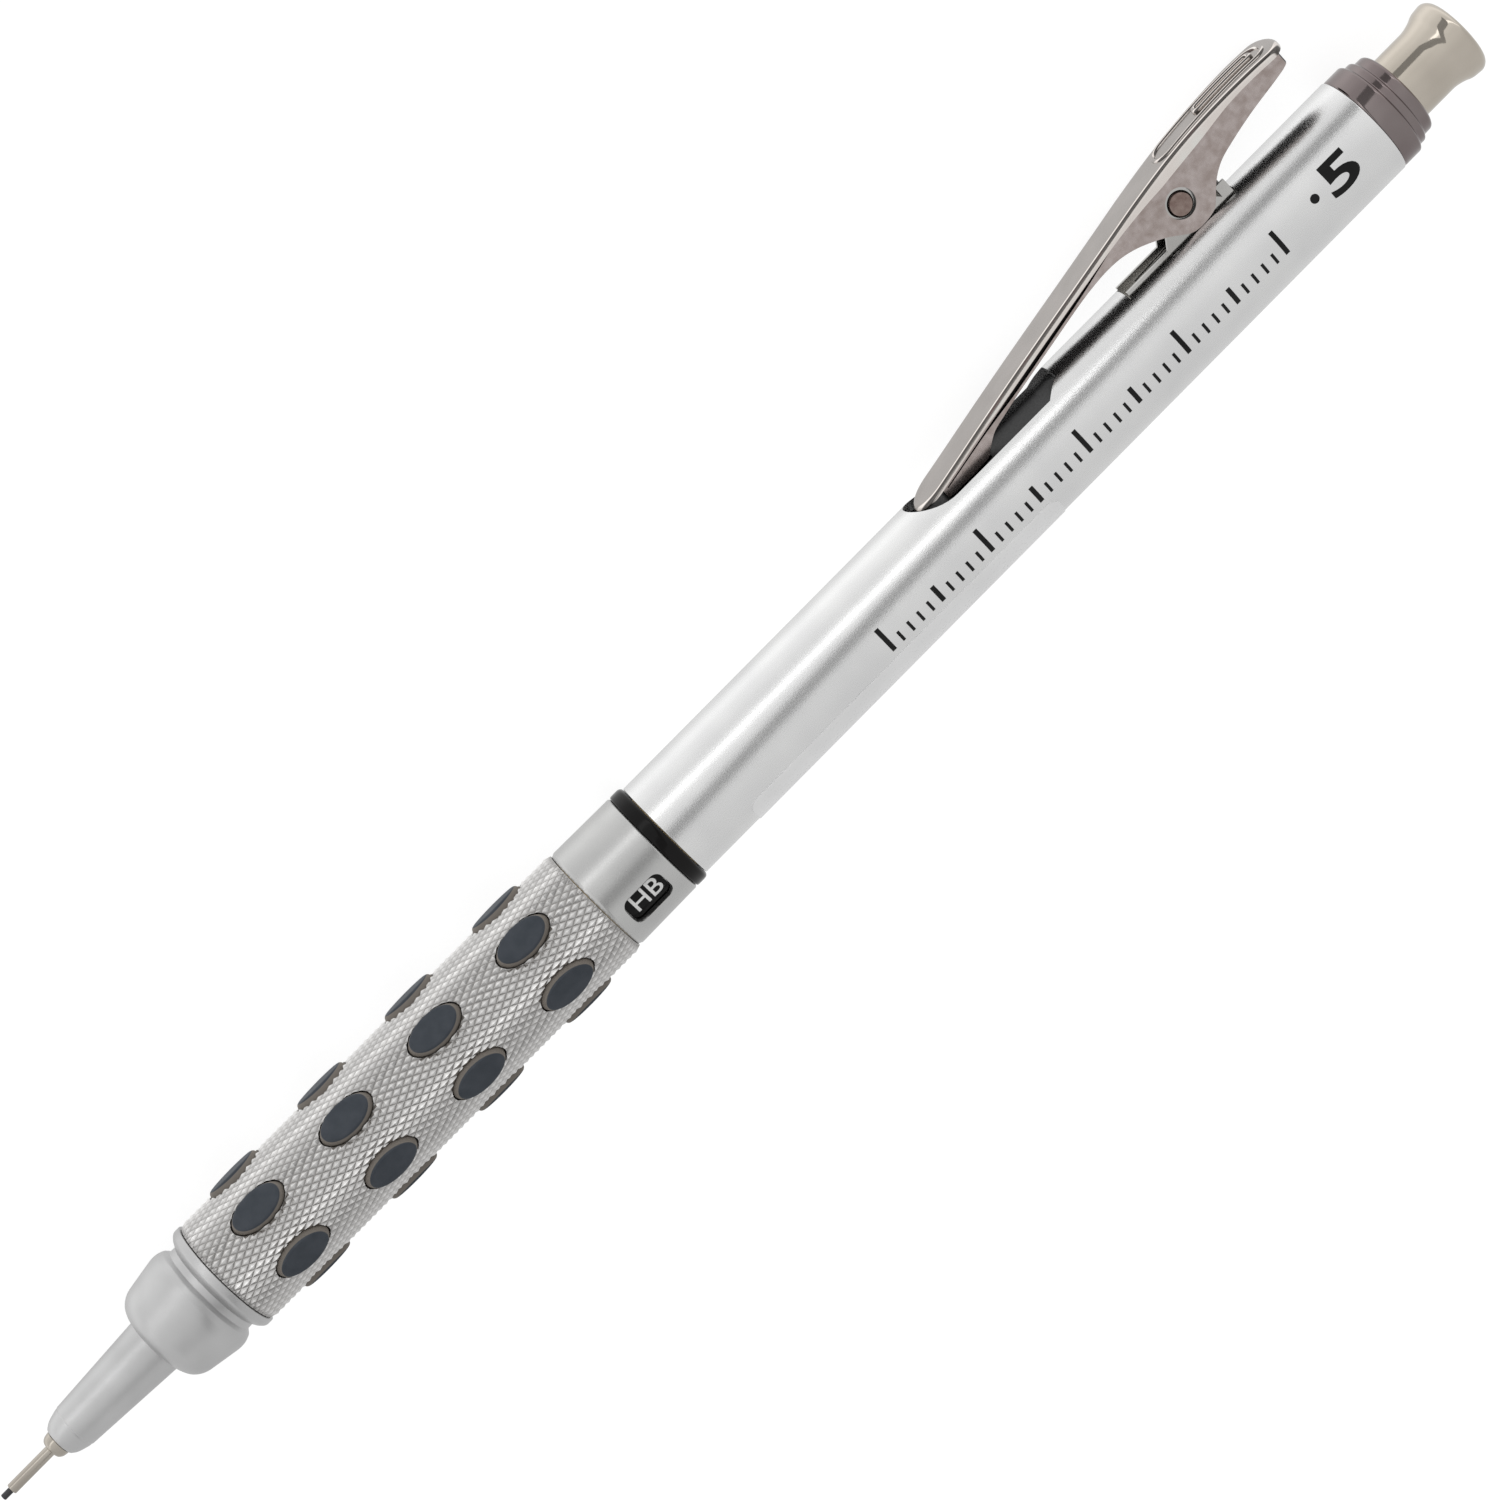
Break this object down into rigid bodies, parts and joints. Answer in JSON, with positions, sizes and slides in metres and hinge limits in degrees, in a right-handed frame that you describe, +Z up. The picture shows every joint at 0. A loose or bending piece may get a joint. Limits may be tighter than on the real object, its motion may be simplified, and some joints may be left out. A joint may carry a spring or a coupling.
{
  "type": "retractable mechanical drafting pencil",
  "caption": "Retractable drafting pencil with thin lead sleeve, knurled grip with rubber pads, grade dial, rocking clip and push button, lying on its side.",
  "frame": {"origin": "middle of the bounding box on the surface that the pencil lies on", "axes": "+X along the pencil from its tip to its push button, +Z up; the clip lies to +Y, tilted a little down, with its tail near the surface"},
  "size_m": [0.1494, 0.015, 0.01],
  "materials": {
    "matt_aluminium": "matt anodised, fine bead-blast grain",
    "satin_aluminium": "satin silver",
    "knurled_aluminium": "diamond knurl, bright crests",
    "polished_nickel": "polished warm nickel",
    "gunmetal": "dark polished plate",
    "black_plastic": "satin black",
    "smoke_plastic": "translucent smoke",
    "grip_rubber": "matt blue-grey",
    "brass": "machined",
    "spring_steel": "bright drawn wire and sheet",
    "white_eraser": "soft white vinyl",
    "graphite": "dark grey polymer graphite"
  },
  "bodies": {
    "barrel": {"upper_barrel": "satin_aluminium", "front_ferrule": "matt_aluminium", "grip_shell": "knurled_aluminium", "grip_pads": "grip_rubber", "inner_tube": "brass", "window_collar": "satin_aluminium", "window_liner": "black_plastic", "end_collar": "gunmetal", "clip_bracket": "spring_steel", "clip_pin": "spring_steel", "clip_spring": "spring_steel"},
    "grade_dial": {"grade_ring": "black_plastic"},
    "clip": {"clip_plate": "polished_nickel", "clip_channel": "polished_nickel", "clip_hook": "spring_steel"},
    "carriage": {"carriage_tube": "black_plastic", "tip_cone": "matt_aluminium", "lead_sleeve": "spring_steel", "lead_retainer": "grip_rubber", "spring_collar": "black_plastic", "retract_spring": "spring_steel"},
    "jaw_ring": {"chuck_ring": "brass"},
    "plunger": {"lead_tube": "smoke_plastic", "chuck": "brass", "eraser_cup": "black_plastic", "chuck_spring": "spring_steel"},
    "lead_stick": {"lead": "graphite"},
    "eraser_stick": {"eraser": "white_eraser"},
    "button": {"push_button": "polished_nickel"}
  },
  "joints": [
    {"name": "tip_retract", "type": "slide", "parent": "barrel", "child": "carriage", "axis": [1, 0, 0], "range_m": [0, 0.016], "deforming": ["retract_spring"]},
    {"name": "button_push", "type": "slide", "parent": "carriage", "child": "plunger", "axis": [-1, 0, 0], "range_m": [0, 0.003], "stiffness_N_per_m": 600, "springref_m": -0.002, "deforming": ["chuck_spring"]},
    {"name": "jaw_ring_slide", "type": "slide", "parent": "carriage", "child": "jaw_ring", "axis": [-1, 0, 0], "range_m": [0, 0.0007]},
    {"name": "lead_feed", "type": "slide", "parent": "plunger", "child": "lead_stick", "axis": [-1, 0, 0], "range_m": [-0.0008, 0.008]},
    {"name": "cap_pull", "type": "slide", "parent": "plunger", "child": "button", "axis": [1, 0, 0], "range_m": [0, 0.021]},
    {"name": "eraser_pull", "type": "slide", "parent": "plunger", "child": "eraser_stick", "axis": [1, 0, 0], "range_m": [0, 0.0084]},
    {"name": "clip_rock", "type": "hinge", "parent": "barrel", "child": "clip", "pos_m": [0.05124, 0.00335, 0.00326], "axis": [0, -0.2823, -0.9593], "range_deg": [0, 12], "stiffness_Nm_per_rad": 0.4, "springref_deg": -5.73, "deforming": ["clip_spring"]},
    {"name": "grade_turn", "type": "hinge", "parent": "barrel", "child": "grade_dial", "pos_m": [0, -0.0026, 0.00501], "axis": [1, 0, 0], "continuous": true}
  ],
  "couplings": [
    {"joint": "jaw_ring_slide", "follows": "button_push", "ratio": 0.23},
    {"joint": "eraser_pull", "follows": "cap_pull", "ratio": 0.4}
  ]
}
